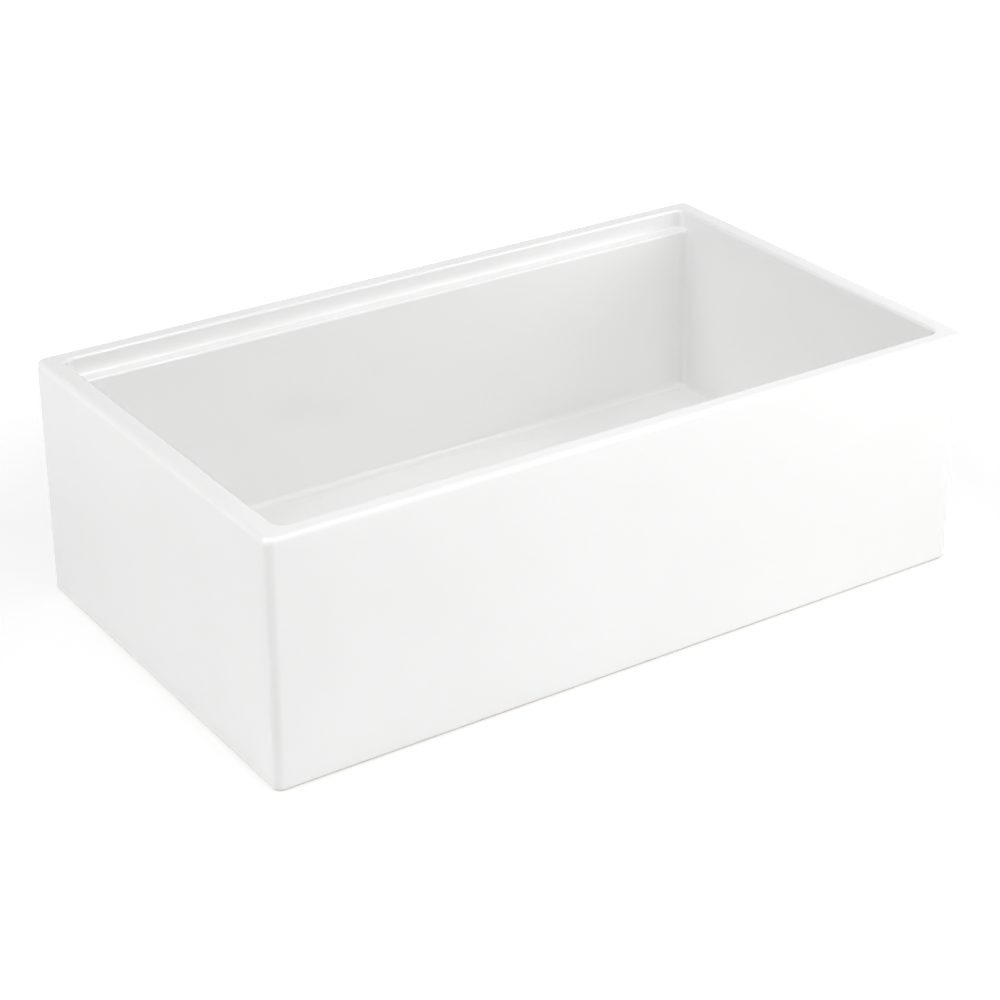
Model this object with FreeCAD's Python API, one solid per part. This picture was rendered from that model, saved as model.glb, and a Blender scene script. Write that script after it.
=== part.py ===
import FreeCAD, Part
import math
import os

# Farmhouse sink with a plain apron front, a ledge along its front and back walls, and a
# basket strainer in its drain. Millimetres. The origin is the centre of the flat base,
# +X runs along the apron, the apron faces -Y and +Z is up. The drain's axis is the Z axis.

# Glazed fireclay body
sink_length = 838.2
sink_depth = 482.6
sink_height = 266.7
side_wall = 22.8
rim_wall = 19.0
ledge_depth = 15.5
ledge_drop = 22.0
base_thickness = 46.0
floor_fall = 5.0
outer_corner_radius = 10.0
inner_corner_radius = 12.0
base_edge_round = 6.0
rim_outer_round = 6.5
rim_inner_round = 3.5
ledge_nose_round = 2.5
ledge_root_round = 2.5
floor_round = 7.0
dish_margin = 4.0
drain_flat = 5.0
drain_edge_round = 1.5
clamp_recess_depth = 12.5
clamp_recess_gap = 4.0

# Strainer body, the flanged cup in the drain hole
flange_overlap = 12.15
flange_thickness = 2.0
flange_lip_round = 1.2
flange_gap = 1.6
cup_bore_radius = 40.2
cup_wall = 1.6
cup_mouth_fall = 5.0
cup_mouth_flare = 4.8
cup_corner_round = 8.0
thread_height = 1.2
thread_run_out = 4.0
drain_hole_clearance = 2.0

# What clamps the strainer to the base
flange_seal_thickness = 1.2
gasket_thickness = 3.0
gasket_overlap = 11.0
friction_ring_thickness = 1.0
friction_ring_inset = 1.0
locknut_height = 14.0
locknut_wall = 7.8
locknut_flange_thickness = 3.0
locknut_lug_count = 8
locknut_lug_width = 7.0
locknut_lug_reach = 4.0
thread_clearance = 0.2
ring_clearance = 0.3

# Outlet collar under the cup, and the crossbar seated in it
outlet_bore_gap = 0.45
collar_wall = 1.8
collar_length = 22.0
collar_flange_width = 4.3
collar_flange_thickness = 1.6
crossbar_thickness = 1.6
crossbar_rim_width = 3.2
crossbar_seat_width = 2.4
crossbar_hub_wall = 2.4
crossbar_neck_length = 3.0
crossbar_neck_wall = 1.2
crossbar_arm_count = 4
crossbar_arm_width = 4.5
crossbar_arm_round = 1.2

# Tailpiece with its washer and slip nut
tail_radius = 19.05
tail_wall = 1.05
tail_length = 101.6
tail_flange_slack = 0.8
tail_flange_thickness = 1.6
tail_neck_length = 6.0
tail_neck_growth = 0.35
tail_washer_thickness = 2.5
nut_wall = 3.4
nut_grip = 18.0
nut_floor = 3.2
nut_side_count = 8
nut_corner_chamfer = 1.6

# Basket that stands in the cup
basket_clearance = 1.4
basket_rim_below_floor = 6.0
basket_taper = 4.6
basket_wall = 0.9
basket_corner_round = 4.5
basket_bead_radius = 1.3
basket_hole_radius = 2.1
basket_hole_rings = 3
basket_hole_pitch = 8.2
basket_hole_land = 1.5
basket_slot_count = 24
basket_slot_width = 3.4
basket_slot_above_floor = 10.0
basket_slot_below_rim = 16.0

# Stopper seal, its retainer and the hollow rivet that holds them under the basket
seat_gap = 0.3
seal_hub_radius = 11.0
seal_hub_thickness = 3.0
seal_lip_inset = 1.8
seal_lip_thickness = 1.8
seal_drop = 5.4
retainer_radius = 9.5
retainer_thickness = 1.0
ferrule_wall = 1.6
ferrule_head_width = 3.0
ferrule_head_thickness = 1.0
rivet_clearance = 0.1

# Knob, post and spring clip, which turn in the hollow rivet
post_radius = 4.0
post_clearance = 0.3
post_head_thickness = 1.5
post_grip = 16.0
knob_neck_radius = 6.4
knob_foot_radius = 8.4
knob_foot_height = 3.0
knob_head_radius = 12.5
knob_head_height = 12.0
knob_crown_round = 4.0
knob_under_round = 2.5
knob_foot_round = 1.2
knob_flute_count = 12
knob_flute_radius = 2.2
knob_flute_depth = 0.9
knob_below_floor = 3.0
clip_clearance = 0.4
clip_sheet = 0.6
clip_waist_gap = 1.4
clip_bulge = 1.8
clip_length = 12.5
clip_bulge_share = 0.55
clip_finger_count = 4
clip_slot_width = 2.2

# Radii that follow from the sizes above, from the tailpiece and the post outwards
outlet_bore_radius = tail_radius + outlet_bore_gap
crossbar_radius = outlet_bore_radius + crossbar_seat_width
outlet_thread_radius = crossbar_radius + collar_wall
collar_flange_radius = outlet_thread_radius + collar_flange_width
tail_flange_radius = outlet_thread_radius - tail_flange_slack
tail_neck_radius = tail_radius + tail_neck_growth
cup_outer_radius = cup_bore_radius + cup_wall
cup_thread_radius = cup_outer_radius + thread_height
drain_hole_radius = cup_thread_radius + drain_hole_clearance
flange_radius = drain_hole_radius + flange_overlap
recess_radius = flange_radius + flange_gap
gasket_radius = drain_hole_radius + gasket_overlap
clamp_recess_radius = gasket_radius + clamp_recess_gap
friction_ring_radius = gasket_radius - friction_ring_inset
locknut_bore_radius = cup_thread_radius + thread_clearance
locknut_body_radius = locknut_bore_radius + locknut_wall
ferrule_bore_radius = post_radius + post_clearance
ferrule_radius = ferrule_bore_radius + ferrule_wall
ferrule_head_radius = ferrule_radius + ferrule_head_width
ferrule_hole_radius = ferrule_radius + rivet_clearance
seal_lip_radius = collar_flange_radius - seal_lip_inset
basket_rim_radius = cup_bore_radius - basket_clearance
basket_wall_top_radius = basket_rim_radius - basket_bead_radius
basket_floor_radius = basket_wall_top_radius - basket_taper
clip_waist_radius = post_radius + clip_waist_gap
clip_radius = clip_waist_radius + clip_bulge
crossbar_hub_radius = clip_radius + clip_clearance

# Heights that follow from the sizes above
ledge_z = sink_height - ledge_drop
floor_z = base_thickness
drain_floor_z = floor_z - floor_fall
flange_under_z = drain_floor_z - flange_thickness
recess_z = flange_under_z - flange_seal_thickness
gasket_under_z = clamp_recess_depth - gasket_thickness
friction_under_z = gasket_under_z - friction_ring_thickness
locknut_under_z = friction_under_z - locknut_height
thread_end_z = locknut_under_z - thread_run_out
cup_floor_z = thread_end_z - cup_corner_round
collar_top_z = cup_floor_z + collar_flange_thickness
collar_under_z = cup_floor_z - cup_wall - collar_length
tail_washer_under_z = collar_under_z - tail_washer_thickness
tail_flange_under_z = tail_washer_under_z - tail_flange_thickness
tail_end_z = tail_washer_under_z - tail_length
nut_under_z = tail_flange_under_z - nut_floor
seal_lip_z = collar_top_z + seat_gap
basket_under_z = seal_lip_z + seal_drop
basket_floor_z = basket_under_z + basket_wall
basket_rim_z = drain_floor_z - basket_rim_below_floor
retainer_top_z = basket_under_z - seal_hub_thickness
retainer_under_z = retainer_top_z - retainer_thickness
ferrule_top_z = basket_floor_z + ferrule_head_thickness
ferrule_under_z = retainer_under_z - ferrule_head_thickness
knob_under_z = ferrule_top_z + post_clearance
knob_top_z = drain_floor_z - knob_below_floor
post_top_z = knob_under_z + post_grip
clip_top_z = ferrule_under_z - post_clearance


def rounded_plate(half_x, half_y, corner_radius, low_z, high_z):
    """A prism over a rectangle with rounded corners, centred on the Z axis."""
    block = Part.makeBox(
        2 * half_x, 2 * half_y, high_z - low_z, FreeCAD.Vector(-half_x, -half_y, low_z)
    )
    uprights = [edge for edge in block.Edges if is_upright(edge)]
    return block.makeFillet(corner_radius, uprights)


def is_upright(edge):
    start = edge.Vertexes[0].Point
    end = edge.Vertexes[-1].Point
    return math.hypot(start.x - end.x, start.y - end.y) < 1e-6


def edges_at(shape, height):
    """The edges that lie wholly in the level plane at this height."""
    return [
        edge
        for edge in shape.Edges
        if max(edge.BoundBox.ZMax - height, height - edge.BoundBox.ZMin) < 1e-4
    ]


def rings_at(shape, radius, height):
    """The full circles of this radius about the Z axis at this height."""
    return [
        edge
        for edge in edges_at(shape, height)
        if isinstance(edge.Curve, Part.Circle)
        and abs(edge.Curve.Radius - radius) < 1e-4
        and math.hypot(edge.Curve.Center.x, edge.Curve.Center.y) < 1e-4
    ]


def disc(radius, low_z, high_z):
    return Part.makeCylinder(radius, high_z - low_z, FreeCAD.Vector(0, 0, low_z))


def ring(inner_radius, outer_radius, low_z, high_z):
    return disc(outer_radius, low_z, high_z).cut(disc(inner_radius, low_z, high_z))


def turned(outline):
    """The solid that an outline of (radius, height) points makes about the Z axis."""
    points = [FreeCAD.Vector(radius, 0, height) for radius, height in outline]
    face = Part.Face(Part.makePolygon(points + points[:1]))
    return face.revolve(FreeCAD.Vector(0, 0, 0), FreeCAD.Vector(0, 0, 1), 360)


def around(tool, count, first_angle=0.0):
    """Equally spaced copies of a tool about the Z axis."""
    copies = []
    for index in range(count):
        copy = tool.copy()
        angle = first_angle + 360.0 * index / count
        copy.rotate(FreeCAD.Vector(0, 0, 0), FreeCAD.Vector(0, 0, 1), angle)
        copies.append(copy)
    return copies


def basin_space():
    """The room inside the walls: plain at the sides, stepped back above each ledge."""
    half_x = sink_length / 2 - side_wall
    upper_half_y = sink_depth / 2 - rim_wall
    lower_half_y = upper_half_y - ledge_depth
    over_rim_z = sink_height + rim_outer_round
    foot_round = min(floor_round, 0.9 * inner_corner_radius)
    root_round = min(ledge_root_round, 0.45 * ledge_depth)

    well = rounded_plate(half_x, lower_half_y, inner_corner_radius, floor_z, over_rim_z)
    well = well.makeFillet(foot_round, edges_at(well, floor_z))
    upper = rounded_plate(half_x, upper_half_y, inner_corner_radius, ledge_z, over_rim_z)
    upper = upper.makeFillet(root_round, edges_at(upper, ledge_z))
    flare = ledge_nose_flare(half_x, lower_half_y, upper_half_y)
    return well.fuse([upper, flare]).removeSplitter()


def ledge_nose_flare(half_x, lower_half_y, upper_half_y):
    """The room over each ledge's rounded nose, trimmed by the upper walls' outline, so
    that the nose dies out where the ledge runs into the rounded corner."""
    nose_round = min(ledge_nose_round, 0.45 * ledge_depth)
    low_z = ledge_z - 2 * nose_round
    slab = rounded_plate(half_x, upper_half_y, inner_corner_radius, low_z, ledge_z)
    well = rounded_plate(half_x, lower_half_y, inner_corner_radius, low_z, ledge_z)
    outside = rounded_plate(
        sink_length / 2, sink_depth / 2, outer_corner_radius, low_z, ledge_z
    )
    frame = outside.cut(well)
    nose_edges = edges_inside(edges_at(frame, ledge_z), half_x, upper_half_y)
    return slab.cut(frame.makeFillet(nose_round, nose_edges))


def edges_inside(edges, half_x, half_y):
    """The edges that stay within a rectangle centred on the Z axis, or on its border."""
    return [
        edge
        for edge in edges
        if max(edge.BoundBox.XMax, -edge.BoundBox.XMin) < half_x + 1e-3
        and max(edge.BoundBox.YMax, -edge.BoundBox.YMin) < half_y + 1e-3
    ]


def floor_dish():
    """The shallow fall of the floor from an oval line down to the drain's flat."""
    low_radius = recess_radius + drain_flat
    half_x = sink_length / 2 - side_wall - floor_round - dish_margin
    half_y = sink_depth / 2 - rim_wall - ledge_depth - floor_round - dish_margin
    oval = Part.Ellipse(FreeCAD.Vector(0, 0, floor_z), half_x, half_y)
    circle = Part.Circle(
        FreeCAD.Vector(0, 0, drain_floor_z), FreeCAD.Vector(0, 0, 1), low_radius
    )
    outlines = [Part.Wire([curve.toShape()]) for curve in (oval, circle)]
    return Part.makeLoft(outlines, True, True)


def make_sink_bowl():
    half_x = sink_length / 2
    half_y = sink_depth / 2
    body = rounded_plate(half_x, half_y, outer_corner_radius, 0, sink_height)
    body = body.makeFillet(base_edge_round, edges_at(body, 0))
    outer_round = min(rim_outer_round, 0.5 * rim_wall)
    body = body.makeFillet(outer_round, edges_at(body, sink_height))
    body = body.cut(basin_space())
    rim_edges = edges_inside(
        edges_at(body, sink_height), half_x - side_wall, half_y - rim_wall
    )
    body = body.makeFillet(min(rim_inner_round, 0.4 * rim_wall), rim_edges)
    body = body.cut(floor_dish())
    body = body.cut(disc(recess_radius, recess_z, floor_z))
    body = body.cut(disc(drain_hole_radius, 0, floor_z))
    body = body.cut(disc(clamp_recess_radius, 0, clamp_recess_depth))
    drain_edges = rings_at(body, recess_radius, drain_floor_z)
    drain_edges += rings_at(body, drain_hole_radius, recess_z)
    drain_edges += rings_at(body, drain_hole_radius, clamp_recess_depth)
    return body.makeFillet(drain_edge_round, drain_edges)


def make_strainer_body():
    """A drawn cup with a flange, a thread around it and a hole for the outlet collar."""
    hole_radius = outlet_thread_radius + thread_clearance
    under_z = cup_floor_z - cup_wall
    mouth_z = drain_floor_z - cup_mouth_fall
    neck_z = flange_under_z - cup_mouth_fall
    thread_top_z = neck_z - thread_height
    flange_bend_radius = cup_bore_radius + cup_mouth_flare
    cup = turned(
        [
            (hole_radius, cup_floor_z),
            (cup_bore_radius, cup_floor_z),
            (cup_bore_radius, mouth_z),
            (flange_bend_radius, drain_floor_z),
            (flange_radius, drain_floor_z),
            (flange_radius, flange_under_z),
            (cup_outer_radius + cup_mouth_flare, flange_under_z),
            (cup_outer_radius, neck_z),
            (cup_outer_radius, thread_top_z),
            (cup_thread_radius, thread_top_z - thread_height),
            (cup_thread_radius, thread_end_z + thread_height),
            (cup_outer_radius, thread_end_z),
            (cup_outer_radius, under_z),
            (hole_radius, under_z),
        ]
    )
    cup = cup.makeFillet(cup_corner_round, rings_at(cup, cup_bore_radius, cup_floor_z))
    cup = cup.makeFillet(cup_corner_round, rings_at(cup, cup_outer_radius, under_z))
    cup = cup.makeFillet(flange_lip_round, rings_at(cup, flange_radius, drain_floor_z))
    mouth = rings_at(cup, cup_bore_radius, mouth_z)
    mouth += rings_at(cup, flange_bend_radius, drain_floor_z)
    return cup.makeFillet(flange_thickness, mouth)


def make_flange_seal():
    inner_radius = cup_outer_radius + cup_mouth_flare + ring_clearance
    outer_radius = flange_radius - ring_clearance
    return ring(inner_radius, outer_radius, recess_z, flange_under_z)


def make_sink_gasket():
    inner_radius = cup_thread_radius + ring_clearance
    gasket = ring(inner_radius, gasket_radius, gasket_under_z, clamp_recess_depth)
    edges = rings_at(gasket, gasket_radius, gasket_under_z)
    return gasket.makeFillet(gasket_thickness / 4, edges)


def make_friction_ring():
    inner_radius = cup_thread_radius + ring_clearance
    return ring(inner_radius, friction_ring_radius, friction_under_z, gasket_under_z)


def make_locknut():
    """A flanged nut with lugs for a spanner around its skirt."""
    flange_under = friction_under_z - locknut_flange_thickness
    nut = disc(locknut_body_radius, locknut_under_z, friction_under_z)
    flange = disc(friction_ring_radius, flange_under, friction_under_z)
    lug = Part.makeBox(
        locknut_lug_reach + locknut_body_radius / 2,
        locknut_lug_width,
        flange_under - locknut_under_z,
        FreeCAD.Vector(locknut_body_radius / 2, -locknut_lug_width / 2, locknut_under_z),
    )
    nut = nut.fuse([flange] + around(lug, locknut_lug_count))
    nut = nut.removeSplitter()
    return nut.cut(disc(locknut_bore_radius, locknut_under_z, friction_under_z))


def make_outlet_collar():
    """The threaded outlet, flanged inside the cup and stepped to seat the crossbar."""
    seat_z = collar_top_z - crossbar_thickness
    collar = turned(
        [
            (outlet_bore_radius, collar_under_z),
            (outlet_thread_radius, collar_under_z),
            (outlet_thread_radius, cup_floor_z),
            (collar_flange_radius, cup_floor_z),
            (collar_flange_radius, collar_top_z),
            (crossbar_radius, collar_top_z),
            (crossbar_radius, seat_z),
            (outlet_bore_radius, seat_z),
        ]
    )
    edges = rings_at(collar, collar_flange_radius, collar_top_z)
    return collar.makeChamfer(collar_flange_thickness / 3, edges)


def make_strainer_crossbar():
    """A stamped spider: a rim, arms, and a hub drawn down into a short neck."""
    under_z = collar_top_z - crossbar_thickness
    hub_radius = crossbar_hub_radius + crossbar_hub_wall
    rim_inner_radius = crossbar_radius - crossbar_rim_width
    rim = ring(rim_inner_radius, crossbar_radius, under_z, collar_top_z)
    hub = disc(hub_radius, under_z, collar_top_z)
    arm = Part.makeBox(
        crossbar_radius - crossbar_rim_width / 2,
        crossbar_arm_width,
        crossbar_thickness,
        FreeCAD.Vector(0, -crossbar_arm_width / 2, under_z),
    )
    spider = rim.fuse([hub] + around(arm, crossbar_arm_count)).removeSplitter()
    corners = [edge for edge in spider.Edges if is_upright(edge) and edge.Length > 1]
    corners = [edge for edge in corners if is_arm_corner(edge, hub_radius, rim_inner_radius)]
    spider = spider.makeFillet(crossbar_arm_round, corners)
    neck_radius = crossbar_hub_radius + crossbar_neck_wall
    neck = disc(neck_radius, under_z - crossbar_neck_length, under_z)
    spider = spider.fuse(neck)
    bore = disc(crossbar_hub_radius, under_z - crossbar_neck_length, collar_top_z)
    return spider.cut(bore)


def is_arm_corner(edge, hub_radius, rim_inner_radius):
    point = edge.Vertexes[0].Point
    radius = math.hypot(point.x, point.y)
    on_hub = abs(radius - hub_radius) < 1e-3
    on_rim = abs(radius - rim_inner_radius) < 1e-3
    across = min(abs(point.x), abs(point.y))
    return (on_hub or on_rim) and across > crossbar_arm_width / 2 - 1e-3


def make_tailpiece_washer():
    inner_radius = tail_neck_radius
    outer_radius = outlet_thread_radius - ring_clearance
    return ring(inner_radius, outer_radius, tail_washer_under_z, collar_under_z)


def make_tailpiece():
    """A straight tube with a turned-out flange and a slightly thicker neck under it."""
    bore_radius = tail_radius - tail_wall
    neck_end_z = tail_flange_under_z - tail_neck_length
    tail = turned(
        [
            (bore_radius, tail_end_z),
            (tail_radius, tail_end_z),
            (tail_radius, neck_end_z - tail_neck_growth),
            (tail_neck_radius, neck_end_z),
            (tail_neck_radius, tail_flange_under_z),
            (tail_flange_radius, tail_flange_under_z),
            (tail_flange_radius, tail_washer_under_z),
            (bore_radius, tail_washer_under_z),
        ]
    )
    mouth = rings_at(tail, bore_radius, tail_washer_under_z)
    return tail.makeFillet(tail_wall / 2, mouth)


def make_coupling_nut():
    """A slip nut: an octagon outside, a thread bore, and a floor under the flange."""
    bore_radius = outlet_thread_radius + thread_clearance
    body_radius = bore_radius + nut_wall
    top_z = collar_under_z + nut_grip
    corner_radius = body_radius / math.cos(math.pi / nut_side_count)
    corners = [
        FreeCAD.Vector(
            corner_radius * math.cos(math.pi * (2 * index + 1) / nut_side_count),
            corner_radius * math.sin(math.pi * (2 * index + 1) / nut_side_count),
            nut_under_z,
        )
        for index in range(nut_side_count)
    ]
    outline = Part.Face(Part.makePolygon(corners + corners[:1]))
    prism = outline.extrude(FreeCAD.Vector(0, 0, top_z - nut_under_z))
    blank = disc(corner_radius, nut_under_z, top_z)
    ends = rings_at(blank, corner_radius, nut_under_z) + rings_at(blank, corner_radius, top_z)
    blank = blank.makeChamfer(nut_corner_chamfer, ends)
    nut = prism.common(blank)
    nut = nut.cut(disc(bore_radius, tail_flange_under_z, top_z))
    neck_hole_radius = tail_neck_radius + ring_clearance
    return nut.cut(disc(neck_hole_radius, nut_under_z, tail_flange_under_z))


def make_basket():
    """A drawn basket with a rolled rim, rings of holes in its floor and slots around it."""
    bead_z = basket_rim_z - basket_bead_radius
    shell = turned(
        [
            (ferrule_hole_radius, basket_under_z),
            (basket_floor_radius, basket_under_z),
            (basket_wall_top_radius, bead_z),
            (basket_wall_top_radius - basket_wall, bead_z),
            (basket_floor_radius - basket_wall, basket_floor_z),
            (ferrule_hole_radius, basket_floor_z),
        ]
    )
    outer_corner = rings_at(shell, basket_floor_radius, basket_under_z)
    shell = shell.makeFillet(basket_corner_round, outer_corner)
    inner_corner = rings_at(shell, basket_floor_radius - basket_wall, basket_floor_z)
    shell = shell.makeFillet(basket_corner_round - basket_wall, inner_corner)
    bead = Part.makeTorus(
        basket_wall_top_radius, basket_bead_radius, FreeCAD.Vector(0, 0, bead_z)
    )
    return shell.fuse(bead).cut(basket_holes() + basket_slots())


def basket_holes():
    """Rings of holes from the rivet's head out to where the floor starts to curve."""
    inner = ferrule_head_radius + basket_hole_land + basket_hole_radius
    outer = basket_floor_radius - basket_corner_round - basket_hole_radius
    tools = []
    for index in range(basket_hole_rings):
        ring_radius = inner + (outer - inner) * index / max(basket_hole_rings - 1, 1)
        count = int(2 * math.pi * ring_radius / basket_hole_pitch)
        low_point = FreeCAD.Vector(ring_radius, 0, basket_under_z - basket_wall)
        hole = Part.makeCylinder(basket_hole_radius, 3 * basket_wall, low_point)
        tools += around(hole, count, 180.0 * index / count)
    return tools


def basket_slots():
    """Upright slots with round ends, cut outwards through the tapered wall."""
    half_width = basket_slot_width / 2
    low_z = basket_floor_z + basket_slot_above_floor + half_width
    high_z = basket_rim_z - basket_slot_below_rim - half_width
    start_x = basket_floor_radius - basket_corner_round
    reach = basket_rim_radius - start_x
    middle = Part.makeBox(
        reach,
        basket_slot_width,
        high_z - low_z,
        FreeCAD.Vector(start_x, -half_width, low_z),
    )
    outward = FreeCAD.Vector(1, 0, 0)
    ends = [
        Part.makeCylinder(half_width, reach, FreeCAD.Vector(start_x, 0, height), outward)
        for height in (low_z, high_z)
    ]
    slot = middle.fuse(ends).removeSplitter()
    return around(slot, basket_slot_count)


def make_stopper_seal():
    """An umbrella of rubber: a flat hub, and a skirt down to the lip that seals."""
    return turned(
        [
            (ferrule_hole_radius, retainer_top_z),
            (seal_hub_radius, retainer_top_z),
            (seal_lip_radius - seal_lip_thickness, seal_lip_z),
            (seal_lip_radius, seal_lip_z),
            (seal_lip_radius, seal_lip_z + seal_lip_thickness / 2),
            (seal_hub_radius, basket_under_z),
            (ferrule_hole_radius, basket_under_z),
        ]
    )


def make_seal_retainer():
    washer = ring(ferrule_hole_radius, retainer_radius, retainer_under_z, retainer_top_z)
    edges = rings_at(washer, retainer_radius, retainer_under_z)
    return washer.makeFillet(retainer_thickness / 2, edges)


def make_hub_ferrule():
    """A hollow rivet that clamps the basket, seal and retainer and guides the post."""
    ferrule = turned(
        [
            (ferrule_bore_radius, ferrule_under_z),
            (ferrule_head_radius, ferrule_under_z),
            (ferrule_head_radius, retainer_under_z),
            (ferrule_radius, retainer_under_z),
            (ferrule_radius, basket_floor_z),
            (ferrule_head_radius, basket_floor_z),
            (ferrule_head_radius, ferrule_top_z),
            (ferrule_bore_radius, ferrule_top_z),
        ]
    )
    edges = rings_at(ferrule, ferrule_head_radius, ferrule_top_z)
    edges += rings_at(ferrule, ferrule_head_radius, ferrule_under_z)
    return ferrule.makeFillet(ferrule_head_thickness / 2, edges)


def make_basket_post():
    """A plain shaft, upset into a head inside the spring clip."""
    head_top_z = clip_top_z - clip_sheet
    head_under_z = head_top_z - post_head_thickness
    shaft = disc(post_radius, head_under_z, post_top_z)
    head = disc(clip_waist_radius - clip_sheet, head_under_z, head_top_z)
    return shaft.fuse(head).removeSplitter()


def make_basket_knob():
    """A turned knob: a foot, a slim neck, and a fluted head with a round crown."""
    head_under_z = knob_top_z - knob_head_height
    foot = disc(knob_foot_radius, knob_under_z, knob_under_z + knob_foot_height)
    foot_rim = rings_at(foot, knob_foot_radius, knob_under_z + knob_foot_height)
    foot = foot.makeFillet(knob_foot_round, foot_rim)
    head = disc(knob_head_radius, head_under_z, knob_top_z)
    head = head.makeFillet(knob_crown_round, rings_at(head, knob_head_radius, knob_top_z))
    head = head.makeFillet(knob_under_round, rings_at(head, knob_head_radius, head_under_z))
    neck = disc(knob_neck_radius, knob_under_z, head_under_z + knob_under_round)
    knob = neck.fuse([foot, head]).removeSplitter()
    flute_x = knob_head_radius + knob_flute_radius - knob_flute_depth
    flute = Part.makeCylinder(
        knob_flute_radius, knob_head_height, FreeCAD.Vector(flute_x, 0, head_under_z)
    )
    knob = knob.cut(around(flute, knob_flute_count))
    return knob.cut(disc(post_radius, knob_under_z, post_top_z))


def make_spring_clip():
    """A sheet cap with sprung fingers that bulge out and close in again at their tips."""
    low_z = clip_top_z - clip_length
    bulge_z = clip_top_z - clip_length * clip_bulge_share
    clip = turned(
        [
            (post_radius, clip_top_z),
            (clip_waist_radius + clip_sheet, clip_top_z),
            (clip_radius, bulge_z),
            (clip_waist_radius, low_z),
            (clip_waist_radius - clip_sheet, low_z),
            (clip_radius - clip_sheet, bulge_z),
            (clip_waist_radius, clip_top_z - clip_sheet),
            (post_radius, clip_top_z - clip_sheet),
        ]
    )
    slot_top_z = clip_top_z - 2 * clip_sheet
    slot = Part.makeBox(
        2 * clip_radius,
        clip_slot_width,
        slot_top_z - low_z,
        FreeCAD.Vector(0, -clip_slot_width / 2, low_z),
    )
    return clip.cut(around(slot, clip_finger_count))


makers = {
    "sink_bowl": make_sink_bowl,
    "flange_seal": make_flange_seal,
    "strainer_body": make_strainer_body,
    "outlet_collar": make_outlet_collar,
    "strainer_crossbar": make_strainer_crossbar,
    "sink_gasket": make_sink_gasket,
    "friction_ring": make_friction_ring,
    "locknut": make_locknut,
    "coupling_nut": make_coupling_nut,
    "tailpiece_washer": make_tailpiece_washer,
    "tailpiece": make_tailpiece,
    "basket": make_basket,
    "stopper_seal": make_stopper_seal,
    "seal_retainer": make_seal_retainer,
    "hub_ferrule": make_hub_ferrule,
    "basket_knob": make_basket_knob,
    "basket_post": make_basket_post,
    "spring_clip": make_spring_clip,
}

os.makedirs("parts", exist_ok=True)
for name, maker in makers.items():
    shape = maker()
    solids = len(shape.Solids)
    print(name, "solids", solids, "valid", shape.isValid(), "volume", round(shape.Volume))
    shape.exportStep("parts/" + name + ".step")
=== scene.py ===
import math

import bmesh
import bpy
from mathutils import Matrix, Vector

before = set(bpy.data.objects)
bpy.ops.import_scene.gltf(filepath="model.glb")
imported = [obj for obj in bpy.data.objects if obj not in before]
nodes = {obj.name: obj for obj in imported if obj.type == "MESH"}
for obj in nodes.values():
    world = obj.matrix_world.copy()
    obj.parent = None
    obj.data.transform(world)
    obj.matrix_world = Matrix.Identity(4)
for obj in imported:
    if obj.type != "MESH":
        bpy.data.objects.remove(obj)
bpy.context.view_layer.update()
print("frame loaded with", len(nodes), "nodes")


# Small helpers for node trees

def addNode(tree, kind, feeds, **options):
    made = tree.nodes.new("ShaderNode" + kind)
    for option, value in options.items():
        setattr(made, option, value)
    feed(tree, made, feeds)
    return made


def feed(tree, made, feeds):
    for name, value in feeds.items():
        if isinstance(value, bpy.types.NodeSocket):
            tree.links.new(value, made.inputs[name])
        else:
            made.inputs[name].default_value = value


def maths(tree, operation, first, second=0.0, clamp=False):
    return addNode(tree, "Math", {0: first, 1: second}, operation=operation, use_clamp=clamp).outputs[0]


def remap(tree, value, low, high, newLow=0.0, newHigh=1.0):
    feeds = {"Value": value, "From Min": low, "From Max": high, "To Min": newLow, "To Max": newHigh}
    return addNode(tree, "MapRange", feeds, clamp=True).outputs[0]


def noise(tree, position, scale, detail=2.0, roughness=0.5):
    feeds = {"Vector": position, "Scale": scale, "Detail": detail, "Roughness": roughness}
    return addNode(tree, "TexNoise", feeds).outputs[0]


def mixColours(tree, share, first, second):
    return addNode(tree, "Mix", {0: share, 6: first, 7: second}, data_type="RGBA").outputs[2]


def mixValues(tree, share, first, second):
    return addNode(tree, "Mix", {0: share, 2: first, 3: second}, data_type="FLOAT").outputs[0]


def rgba(colour):
    return (*colour, 1.0)


# Effects that several materials share, as node groups

def makeGroup(name, takes, gives):
    group = bpy.data.node_groups.new(name, "ShaderNodeTree")
    for socketName, kind, value in takes:
        socket = group.interface.new_socket(socketName, in_out="INPUT", socket_type="NodeSocket" + kind)
        if value is not None:
            socket.default_value = value
    for socketName in gives:
        group.interface.new_socket(socketName, in_out="OUTPUT", socket_type="NodeSocketFloat")
    return group, group.nodes.new("NodeGroupInput").outputs, group.nodes.new("NodeGroupOutput")


def useGroup(tree, group, feeds):
    made = tree.nodes.new("ShaderNodeGroup")
    made.node_tree = group
    feed(tree, made, feeds)
    return made.outputs


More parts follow.
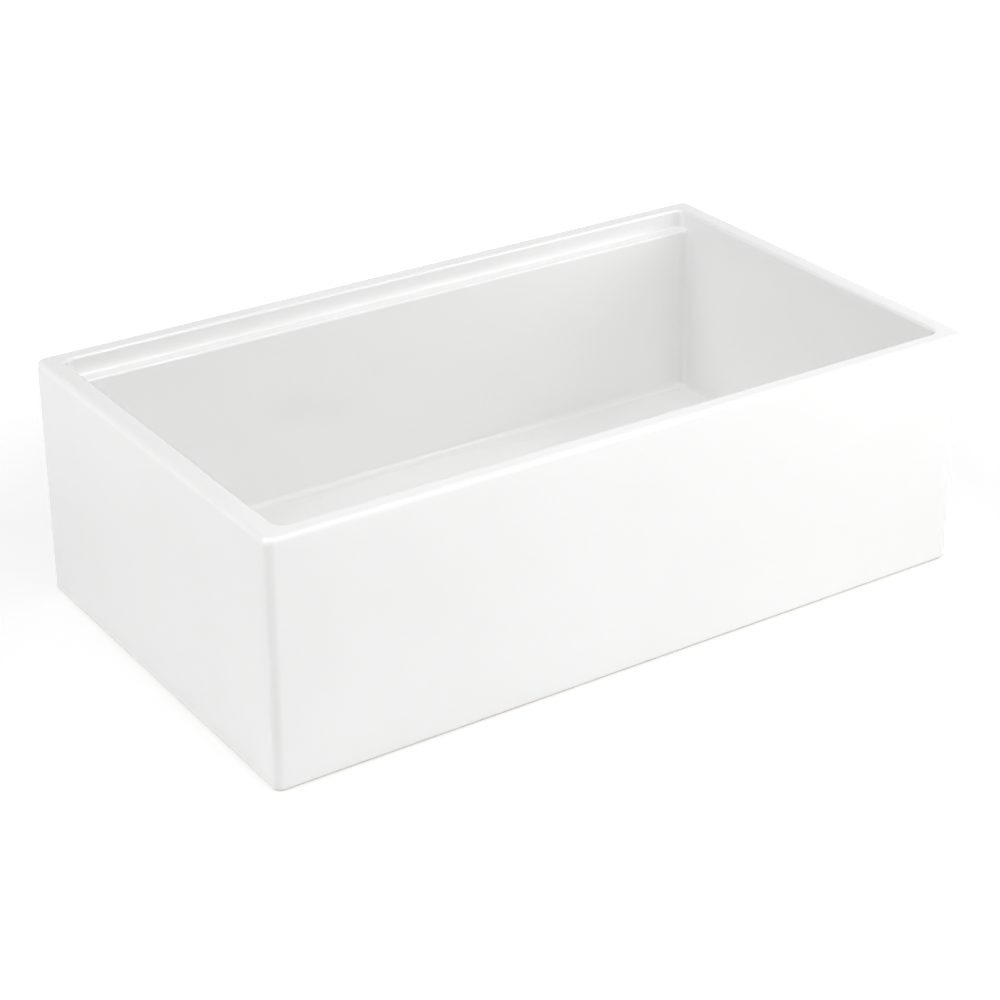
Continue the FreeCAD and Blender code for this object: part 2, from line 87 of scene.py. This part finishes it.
# Slow waves and fine orange peel of a fired glaze, its slow change of tone and rare pinholes
def makeGlazeRelief():
    takes = [("Position", "Vector", None), ("Wave Scale", "Float", 9.0), ("Peel Scale", "Float", 240.0),
             ("Peel Share", "Float", 0.05), ("Pinhole Scale", "Float", 60.0)]
    group, given, result = makeGroup("glazeRelief", takes, ["Height", "Tone", "Pinholes"])
    place = given["Position"]
    waves = noise(group, place, given["Wave Scale"], 2.0)
    peel = noise(group, place, given["Peel Scale"], 1.0)
    height = maths(group, "ADD", waves, maths(group, "MULTIPLY", peel, given["Peel Share"]))
    tone = noise(group, place, maths(group, "MULTIPLY", given["Wave Scale"], 0.45), 3.0)
    cells = addNode(group, "TexVoronoi", {"Vector": place, "Scale": given["Pinhole Scale"]})
    nearCentre = remap(group, cells.outputs["Distance"], 0.010, 0.024, 1.0, 0.0)
    draw = addNode(group, "SeparateColor", {0: cells.outputs["Color"]}).outputs[0]
    chosen = maths(group, "GREATER_THAN", draw, 0.93)      # so about one cell in fourteen has a pinhole
    feed(group, result, {"Height": height, "Tone": remap(group, tone, 0.35, 0.65),
                         "Pinholes": maths(group, "MULTIPLY", nearCentre, chosen)})
    return group


# 1 on a rounded edge or corner, 0 on the flats that face along an axis
def makeRoundedEdge():
    group, given, result = makeGroup("roundedEdge", [("Normal", "Vector", None)], ["Edge"])
    sizes = addNode(group, "VectorMath", {0: given["Normal"]}, operation="ABSOLUTE").outputs[0]
    parts = addNode(group, "SeparateXYZ", {0: sizes}).outputs
    largest = maths(group, "MAXIMUM", maths(group, "MAXIMUM", parts[0], parts[1]), parts[2])
    feed(group, result, {"Edge": remap(group, largest, 0.995, 0.75)})
    return group


# Fine rings around the Z axis, as a lathe or a polishing wheel leaves them
def makeTurnedGrain():
    takes = [("Position", "Vector", None), ("Rings Per Metre", "Float", 1500.0), ("Along", "Float", 1.4)]
    group, given, result = makeGroup("turnedGrain", takes, ["Height", "Tone"])
    parts = addNode(group, "SeparateXYZ", {0: given["Position"]}).outputs
    flat = addNode(group, "CombineXYZ", {0: parts[0], 1: parts[1]}).outputs[0]
    radius = addNode(group, "VectorMath", {0: flat}, operation="LENGTH").outputs["Value"]
    heading = addNode(group, "VectorMath", {0: flat}, operation="NORMALIZE").outputs[0]
    turn = addNode(group, "SeparateXYZ", {0: heading}).outputs
    density = given["Rings Per Metre"]
    across = addNode(group, "CombineXYZ", {
        0: maths(group, "MULTIPLY", radius, density),
        1: maths(group, "MULTIPLY", parts[2], density),
        2: maths(group, "MULTIPLY", turn[0], given["Along"]),
    }).outputs[0]
    feeds = {"Vector": across, "W": maths(group, "MULTIPLY", turn[1], given["Along"]), "Scale": 1.0,
             "Detail": 3.0}
    lines = addNode(group, "TexNoise", feeds, noise_dimensions="4D").outputs[0]
    feed(group, result, {"Height": lines, "Tone": remap(group, lines, 0.3, 0.7)})
    return group


# Cloudy marks of fingers, water and dust that dull a finish in places
def makeSmudges():
    takes = [("Position", "Vector", None), ("Patch Scale", "Float", 60.0), ("Amount", "Float", 0.5)]
    group, given, result = makeGroup("smudges", takes, ["Dull"])
    patches = remap(group, noise(group, given["Position"], given["Patch Scale"], 4.0, 0.6), 0.45, 0.75)
    streaks = noise(group, given["Position"], maths(group, "MULTIPLY", given["Patch Scale"], 7.0), 2.0)
    both = maths(group, "MULTIPLY", patches, remap(group, streaks, 0.3, 0.7, 0.5, 1.0))
    feed(group, result, {"Dull": maths(group, "MULTIPLY", both, given["Amount"], clamp=True)})
    return group


# Sand-like grain for bare clay, cast metal, rubber, foam and fibre
def makeGrain():
    takes = [("Position", "Vector", None), ("Grain Scale", "Float", 900.0), ("Pit Scale", "Float", 300.0)]
    group, given, result = makeGroup("grain", takes, ["Height", "Tone", "Pits"])
    fine = noise(group, given["Position"], given["Grain Scale"], 3.0, 0.65)
    cells = addNode(group, "TexVoronoi", {"Vector": given["Position"], "Scale": given["Pit Scale"]})
    pits = remap(group, cells.outputs["Distance"], 0.05, 0.35, 1.0, 0.0)
    feed(group, result, {"Height": maths(group, "SUBTRACT", fine, maths(group, "MULTIPLY", pits, 0.3)),
                         "Tone": remap(group, fine, 0.3, 0.7), "Pits": pits})
    return group


glazeRelief = makeGlazeRelief()
roundedEdge = makeRoundedEdge()
turnedGrain = makeTurnedGrain()
smudges = makeSmudges()
grain = makeGrain()
print("shared effects built")


# Materials

def startMaterial(name):
    material = bpy.data.materials.new(name)
    material.use_nodes = True
    tree = material.node_tree
    tree.nodes.clear()
    shader = addNode(tree, "BsdfPrincipled", {})
    addNode(tree, "OutputMaterial", {"Surface": shader.outputs[0]})
    coordinates = addNode(tree, "TexCoord", {}).outputs
    return material, tree, shader, coordinates


def addBump(tree, shader, height, distance, strength=1.0):
    bump = addNode(tree, "Bump", {"Height": height, "Distance": distance, "Strength": strength})
    feed(tree, shader, {"Normal": bump.outputs[0]})


fireclayLook = {
    "glaze": (0.880, 0.880, 0.878),
    "glazeDeep": (0.864, 0.864, 0.861),      # slow change of tone over the body
    "thinGlazeAndEdgeShade": (0.800, 0.796, 0.786),      # where the glaze drew back from an edge, together with painted shade that darkens every rounded edge
    "thinGlazeAndEdgeShadeShare": 0.30,
    "bareClay": (0.560, 0.490, 0.390),
    "bareSpeck": (0.330, 0.270, 0.200),
    "pinhole": (0.60, 0.56, 0.50),
    "glazeEnds": 0.0024,                     # height above the foot where the glaze was wiped off
    "glazeEndsWander": 0.0012,
    "glazeEndsScale": 35.0,
    "glazeEndsBlur": 0.0004,
    "drainBoreRadius": 0.0462,               # bare clay inside the drain hole, up to this height
    "drainBareBelow": 0.020,
    "recessRadius": 0.0612,                  # and inside the clamping recess under the base
    "recessBareBelow": 0.0135,
    "glossRoughness": 0.20,
    "coatWeight": 0.6,
    "coatRoughness": 0.08,
    "bareRoughness": 0.85,
    "ior": 1.52,
    "waveHeight": 0.00035,
    "pinholeDepth": 0.0001,
    "sandHeight": 0.00025,
    "sandScale": 700.0,
    "sandPitScale": 260.0,
}


# 1 inside an upright cylinder that reaches down from a height
def within(tree, radius, widest, height, highest):
    inside = maths(tree, "LESS_THAN", radius, widest)
    return maths(tree, "MULTIPLY", inside, maths(tree, "LESS_THAN", height, highest))


def makeFireclay(look):
    material, tree, shader, coordinates = startMaterial("glazed_fireclay")
    place = coordinates["Object"]
    relief = useGroup(tree, glazeRelief, {"Position": place})
    edge = useGroup(tree, roundedEdge, {"Normal": coordinates["Normal"]})["Edge"]
    sandFeeds = {"Position": place, "Grain Scale": look["sandScale"], "Pit Scale": look["sandPitScale"]}
    sand = useGroup(tree, grain, sandFeeds)

    parts = addNode(tree, "SeparateXYZ", {0: place}).outputs
    wander = noise(tree, place, look["glazeEndsScale"], 3.0)
    wander = maths(tree, "MULTIPLY", wander, look["glazeEndsWander"])
    overLine = maths(tree, "SUBTRACT", parts[2], maths(tree, "ADD", wander, look["glazeEnds"]))
    bareFoot = remap(tree, overLine, 0.0, look["glazeEndsBlur"], 1.0, 0.0)
    flat = addNode(tree, "CombineXYZ", {0: parts[0], 1: parts[1]}).outputs[0]
    radius = addNode(tree, "VectorMath", {0: flat}, operation="LENGTH").outputs["Value"]
    bareBore = within(tree, radius, look["drainBoreRadius"], parts[2], look["drainBareBelow"])
    bareRecess = within(tree, radius, look["recessRadius"], parts[2], look["recessBareBelow"])
    bare = maths(tree, "MAXIMUM", bareFoot, maths(tree, "MAXIMUM", bareBore, bareRecess))

    glaze = mixColours(tree, relief["Tone"], rgba(look["glaze"]), rgba(look["glazeDeep"]))
    # Rounded edges are darkened here: partly thin glaze, partly painted shade on the edges
    glaze = mixColours(tree, maths(tree, "MULTIPLY", edge, look["thinGlazeAndEdgeShadeShare"]), glaze, rgba(look["thinGlazeAndEdgeShade"]))
    glaze = mixColours(tree, relief["Pinholes"], glaze, rgba(look["pinhole"]))
    clay = mixColours(tree, sand["Pits"], rgba(look["bareClay"]), rgba(look["bareSpeck"]))
    feed(tree, shader, {
        "Base Color": mixColours(tree, bare, glaze, clay),
        "Roughness": mixValues(tree, bare, look["glossRoughness"], look["bareRoughness"]),
        "Coat Weight": mixValues(tree, bare, look["coatWeight"], 0.0),
        "Coat Roughness": look["coatRoughness"],
        "IOR": look["ior"],
    })
    waves = maths(tree, "MULTIPLY", relief["Height"], look["waveHeight"])
    waves = maths(tree, "SUBTRACT", waves, maths(tree, "MULTIPLY", relief["Pinholes"], look["pinholeDepth"]))
    grit = maths(tree, "MULTIPLY", sand["Height"], look["sandHeight"])
    addBump(tree, shader, mixValues(tree, bare, waves, grit), 1.0)
    return material


# One entry for each piece of metal: colour, how dull from and to, turning lines per metre and their
# depth in metres, and how many finger and water marks
metalLooks = {
    "strainer_body": {
        "colour": (0.6, 0.6, 0.59), "dull": (0.16, 0.3),
        "rings": 2600.0, "depth": 0.000006, "marks": 0.5,
    },
    "strainer_crossbar": {
        "colour": (0.56, 0.56, 0.55), "dull": (0.28, 0.42),
        "rings": 900.0, "depth": 0.000004, "marks": 0.6,
    },
    "basket": {
        "colour": (0.64, 0.64, 0.63), "dull": (0.14, 0.26),
        "rings": 2200.0, "depth": 0.000004, "marks": 0.4,
    },
    "seal_retainer": {
        "colour": (0.58, 0.58, 0.57), "dull": (0.2, 0.34),
        "rings": 3200.0, "depth": 0.000004, "marks": 0.3,
    },
    "hub_ferrule": {
        "colour": (0.62, 0.62, 0.61), "dull": (0.12, 0.24),
        "rings": 4200.0, "depth": 0.000003, "marks": 0.3,
    },
    "basket_knob": {
        "colour": (0.66, 0.66, 0.65), "dull": (0.08, 0.18),
        "rings": 5200.0, "depth": 0.000003, "marks": 0.5,
    },
    "basket_post": {
        "colour": (0.6, 0.6, 0.59), "dull": (0.18, 0.3),
        "rings": 5200.0, "depth": 0.000004, "marks": 0.3,
    },
    "spring_clip": {
        "colour": (0.57, 0.57, 0.56), "dull": (0.2, 0.36),
        "rings": 1400.0, "depth": 0.000003, "marks": 0.5,
    },
    "outlet_collar": {
        "colour": (0.67, 0.675, 0.68), "dull": (0.05, 0.12),
        "rings": 3600.0, "depth": 0.000002, "marks": 0.7,
    },
    "coupling_nut": {
        "colour": (0.67, 0.675, 0.68), "dull": (0.05, 0.14),
        "rings": 800.0, "depth": 0.000002, "marks": 0.8,
    },
    "tailpiece": {
        "colour": (0.67, 0.675, 0.68), "dull": (0.04, 0.12),
        "rings": 1200.0, "depth": 0.000002, "marks": 0.8,
    },
}
metalShared = {
    "markScale": 70.0,
    "dimmed": 0.86,      # colour in the hollows and under the marks
    "lineShare": 0.5,
}


def makeMetal(name, look):
    material, tree, shader, coordinates = startMaterial(name + "_metal")
    place = coordinates["Object"]
    lines = useGroup(tree, turnedGrain, {"Position": place, "Rings Per Metre": look["rings"]})
    markFeeds = {"Position": place, "Patch Scale": metalShared["markScale"], "Amount": look["marks"]}
    dulled = useGroup(tree, smudges, markFeeds)["Dull"]
    bright = rgba(look["colour"])
    dim = rgba([part * metalShared["dimmed"] for part in look["colour"]])
    low, high = look["dull"]
    shade = maths(tree, "MULTIPLY", lines["Tone"], metalShared["lineShare"])
    feed(tree, shader, {
        "Base Color": mixColours(tree, maths(tree, "ADD", shade, dulled, clamp=True), bright, dim),
        "Metallic": 1.0,
        "Roughness": remap(tree, maths(tree, "ADD", shade, dulled), 0.0, 1.0, low, high),
    })
    addBump(tree, shader, lines["Height"], look["depth"])
    return material


# One entry for each piece that is cast, moulded or pressed. Grain and pits are per metre.
mouldedLooks = {
    "locknut": {
        "colour": (0.5, 0.51, 0.52), "speck": (0.36, 0.37, 0.38),
        "metallic": 0.85, "roughness": (0.38, 0.56),
        "grain": 1100.0, "pits": 420.0, "depth": 0.00012,
    },
    "sink_gasket": {
        "colour": (0.022, 0.022, 0.024), "speck": (0.055, 0.055, 0.055),
        "metallic": 0.0, "roughness": (0.55, 0.75),
        "grain": 1500.0, "pits": 500.0, "depth": 0.00008,
    },
    "stopper_seal": {
        "colour": (0.02, 0.02, 0.022), "speck": (0.048, 0.048, 0.05),
        "metallic": 0.0, "roughness": (0.42, 0.62),
        "grain": 1800.0, "pits": 700.0, "depth": 0.00005,
    },
    "flange_seal": {
        "colour": (0.8, 0.8, 0.77), "speck": (0.62, 0.61, 0.58),
        "metallic": 0.0, "roughness": (0.8, 0.95),
        "grain": 1200.0, "pits": 900.0, "depth": 0.00025,
    },
    "friction_ring": {
        "colour": (0.36, 0.25, 0.15), "speck": (0.5, 0.39, 0.27),
        "metallic": 0.0, "roughness": (0.78, 0.92),
        "grain": 600.0, "pits": 1300.0, "depth": 0.00018,
    },
    "tailpiece_washer": {
        "colour": (0.84, 0.84, 0.81), "speck": (0.74, 0.74, 0.71),
        "metallic": 0.0, "roughness": (0.32, 0.46),
        "grain": 500.0, "pits": 160.0, "depth": 0.00004,
    },
}
mouldedShared = {
    "markScale": 90.0,
    "marks": 0.8,
    "markShare": 0.4,
    "wornShare": 0.25,      # how much of the speck colour shows on rounded edges
}


def makeMoulded(name, look):
    material, tree, shader, coordinates = startMaterial(name + "_moulded")
    place = coordinates["Object"]
    skinFeeds = {"Position": place, "Grain Scale": look["grain"], "Pit Scale": look["pits"]}
    skin = useGroup(tree, grain, skinFeeds)
    edge = useGroup(tree, roundedEdge, {"Normal": coordinates["Normal"]})["Edge"]
    markScale, marks = mouldedShared["markScale"], mouldedShared["marks"]
    dulled = useGroup(tree, smudges, {"Position": place, "Patch Scale": markScale, "Amount": marks})["Dull"]
    speck = rgba(look["speck"])
    worn = maths(tree, "MULTIPLY", edge, mouldedShared["wornShare"])
    marked = maths(tree, "MULTIPLY", dulled, mouldedShared["markShare"])
    colour = mixColours(tree, skin["Pits"], rgba(look["colour"]), speck)
    colour = mixColours(tree, worn, colour, speck)
    low, high = look["roughness"]
    feed(tree, shader, {
        "Base Color": mixColours(tree, marked, colour, speck),
        "Metallic": look["metallic"],
        "Roughness": remap(tree, maths(tree, "ADD", skin["Tone"], dulled), 0.0, 1.6, low, high),
    })
    addBump(tree, shader, skin["Height"], look["depth"])
    return material


def dress(node, material):
    mesh = node.data
    mesh.materials.clear()
    mesh.materials.append(material)


dress(nodes["sink_bowl"], makeFireclay(fireclayLook))
for name, look in metalLooks.items():
    dress(nodes[name], makeMetal(name, look))
for name, look in mouldedLooks.items():
    dress(nodes[name], makeMoulded(name, look))
print("materials on", 1 + len(metalLooks) + len(mouldedLooks), "pieces")


# Floor, light and camera

# The floor is pale and open under the base, where the drain hangs through it. It shows white to the
# camera with the sink's soft shadow on it, and it isn't there when it is looked at from below.
floorLook = {
    "reach": 9.0,
    "opening": (0.410, 0.232),      # half the length and depth of the hole, inside the sink's outline
    "height": -0.0004,
    "sides": 96,
    "bounce": 0.90,      # how much light it throws back on the sink
    "lit": 0.30,
    "glow": 0.74,        # beside the sink; it grows to plain white between whiteFrom and whiteTo, in metres
    "whiteFrom": 0.6,
    "whiteTo": 1.3,
}


def whiteToEye(tree):
    rays = addNode(tree, "LightPath", {}).outputs
    shiny = maths(tree, "MAXIMUM", rays["Is Glossy Ray"], rays["Is Transmission Ray"])
    return maths(tree, "MAXIMUM", rays["Is Camera Ray"], shiny)


def makeFloor(look):
    shape = bmesh.new()
    inner, outer = [], []
    halfLength, halfDepth = look["opening"]
    for index in range(look["sides"]):
        angle = 2 * math.pi * (index + 0.5) / look["sides"]
        across, along = math.cos(angle), math.sin(angle)
        reach = min(halfLength / abs(across), halfDepth / abs(along))
        inner.append(shape.verts.new((across * reach, along * reach, look["height"])))
        outer.append(shape.verts.new((across * look["reach"], along * look["reach"], look["height"])))
    for index in range(look["sides"]):
        after = (index + 1) % look["sides"]
        shape.faces.new((inner[index], outer[index], outer[after], inner[after]))
    bmesh.ops.recalc_face_normals(shape, faces=shape.faces)
    mesh = bpy.data.meshes.new("floor")
    shape.to_mesh(mesh)
    shape.free()
    if mesh.polygons[0].normal.z < 0:
        mesh.flip_normals()
    floor = bpy.data.objects.new("floor", mesh)
    bpy.context.scene.collection.objects.link(floor)

    material = bpy.data.materials.new("pale_floor")
    material.use_nodes = True
    tree = material.node_tree
    tree.nodes.clear()
    bounce = addNode(tree, "BsdfDiffuse", {"Color": rgba([look["bounce"]] * 3)})
    lit = addNode(tree, "BsdfDiffuse", {"Color": rgba([look["lit"]] * 3)})
    place = addNode(tree, "TexCoord", {}).outputs["Object"]
    radius = addNode(tree, "VectorMath", {0: place}, operation="LENGTH").outputs["Value"]
    strength = remap(tree, radius, look["whiteFrom"], look["whiteTo"], look["glow"], 1.0)
    glow = addNode(tree, "Emission", {"Strength": strength})
    shown = addNode(tree, "AddShader", {0: lit.outputs[0], 1: glow.outputs[0]})
    either = addNode(tree, "MixShader", {0: whiteToEye(tree), 1: bounce.outputs[0], 2: shown.outputs[0]})
    clear = addNode(tree, "BsdfTransparent", {})
    backfacing = addNode(tree, "NewGeometry", {}).outputs["Backfacing"]
    surface = addNode(tree, "MixShader", {0: backfacing, 1: either.outputs[0], 2: clear.outputs[0]})
    addNode(tree, "OutputMaterial", {"Surface": surface.outputs[0]})
    mesh.materials.append(material)


# Soft boxes round the sink. Power is in watts, place and aim in metres.
lamps = {
    "left": {"place": (-3.0, 0.0, 1.0), "size": (2.4, 1.8), "power": 15.5},
    "leftBack": {"place": (-1.8, 2.6, 1.0), "size": (2.2, 1.8), "power": 4.8},
    "overLeft": {"place": (-2.2, 0.2, 2.4), "size": (2.4, 2.2), "power": 38.5},
    "overFront": {"place": (0.0, -2.2, 2.4), "size": (2.6, 2.2), "power": 11.5},
    "bowl": {"place": (0.1, -1.2, 1.7), "size": (1.2, 1.0), "power": 12.5},
    "front": {"place": (0.6, -3.0, 1.0), "size": (2.6, 1.8), "power": 5.2},
    "rightEnd": {"place": (1.4, -1.3, 1.0), "size": (1.2, 1.2), "power": 12.5},
    "rightMiddle": {"place": (2.8, -1.4, 1.0), "size": (2.2, 1.8), "power": 9.4},
    "right": {"place": (3.0, 0.0, 1.0), "size": (2.4, 1.8), "power": 4.2},
    "rightBack": {"place": (2.2, 2.2, 1.2), "size": (2.4, 1.8), "power": 2.9},
}
lampAim = (0.0, 0.0, 0.15)
ambient = 0.15       # from all round, above the floor
fromBelow = 0.55     # reaches only the underside and the drain, under the floor


def makeLamp(name, look):
    data = bpy.data.lights.new(name, "AREA")
    data.shape = "RECTANGLE"
    data.size, data.size_y = look["size"]
    data.energy = look["power"]
    lamp = bpy.data.objects.new(name, data)
    bpy.context.scene.collection.objects.link(lamp)
    lamp.location = look["place"]
    lamp.rotation_euler = (Vector(lampAim) - lamp.location).to_track_quat("-Z", "Y").to_euler()
    lamp.visible_camera = False


def makeWorld(above, below):
    world = bpy.data.worlds.new("studio")
    bpy.context.scene.world = world
    world.use_nodes = True
    tree = world.node_tree
    tree.nodes.clear()
    heading = addNode(tree, "SeparateXYZ", {0: addNode(tree, "TexCoord", {}).outputs["Generated"]}).outputs[2]
    fill = mixValues(tree, maths(tree, "LESS_THAN", heading, 0.0), above, below)
    strength = mixValues(tree, whiteToEye(tree), fill, 1.0)
    sky = addNode(tree, "Background", {"Color": (1.0, 1.0, 1.0, 1.0), "Strength": strength})
    addNode(tree, "OutputWorld", {"Surface": sky.outputs[0]})


# Where the photograph was taken from, as near as a lens without shift comes to it
view = {
    "azimuth": -33.954,
    "elevation": 26.853,
    "distance": 2.6871,
    "lookAt": (-0.0072, 0.0, 0.0898),
    "sensorWidth": 36.0,
    "lens": 90.894,
}


def makeCamera(look):
    data = bpy.data.cameras.new("camera")
    data.sensor_width = look["sensorWidth"]
    data.lens = look["lens"]
    data.clip_end = 60.0
    camera = bpy.data.objects.new("camera", data)
    bpy.context.scene.collection.objects.link(camera)
    turn, rise = math.radians(look["azimuth"]), math.radians(look["elevation"])
    away = Vector((math.sin(turn) * math.cos(rise), -math.cos(turn) * math.cos(rise), math.sin(rise)))
    camera.location = Vector(look["lookAt"]) + away * look["distance"]
    camera.rotation_mode = "QUATERNION"
    camera.rotation_quaternion = (-away).to_track_quat("-Z", "Y")
    bpy.context.scene.camera = camera


makeFloor(floorLook)
for name, look in lamps.items():
    makeLamp(name, look)
makeWorld(ambient, fromBelow)
makeCamera(view)
bpy.context.scene.view_settings.view_transform = "Standard"
print("floor, light and camera placed")
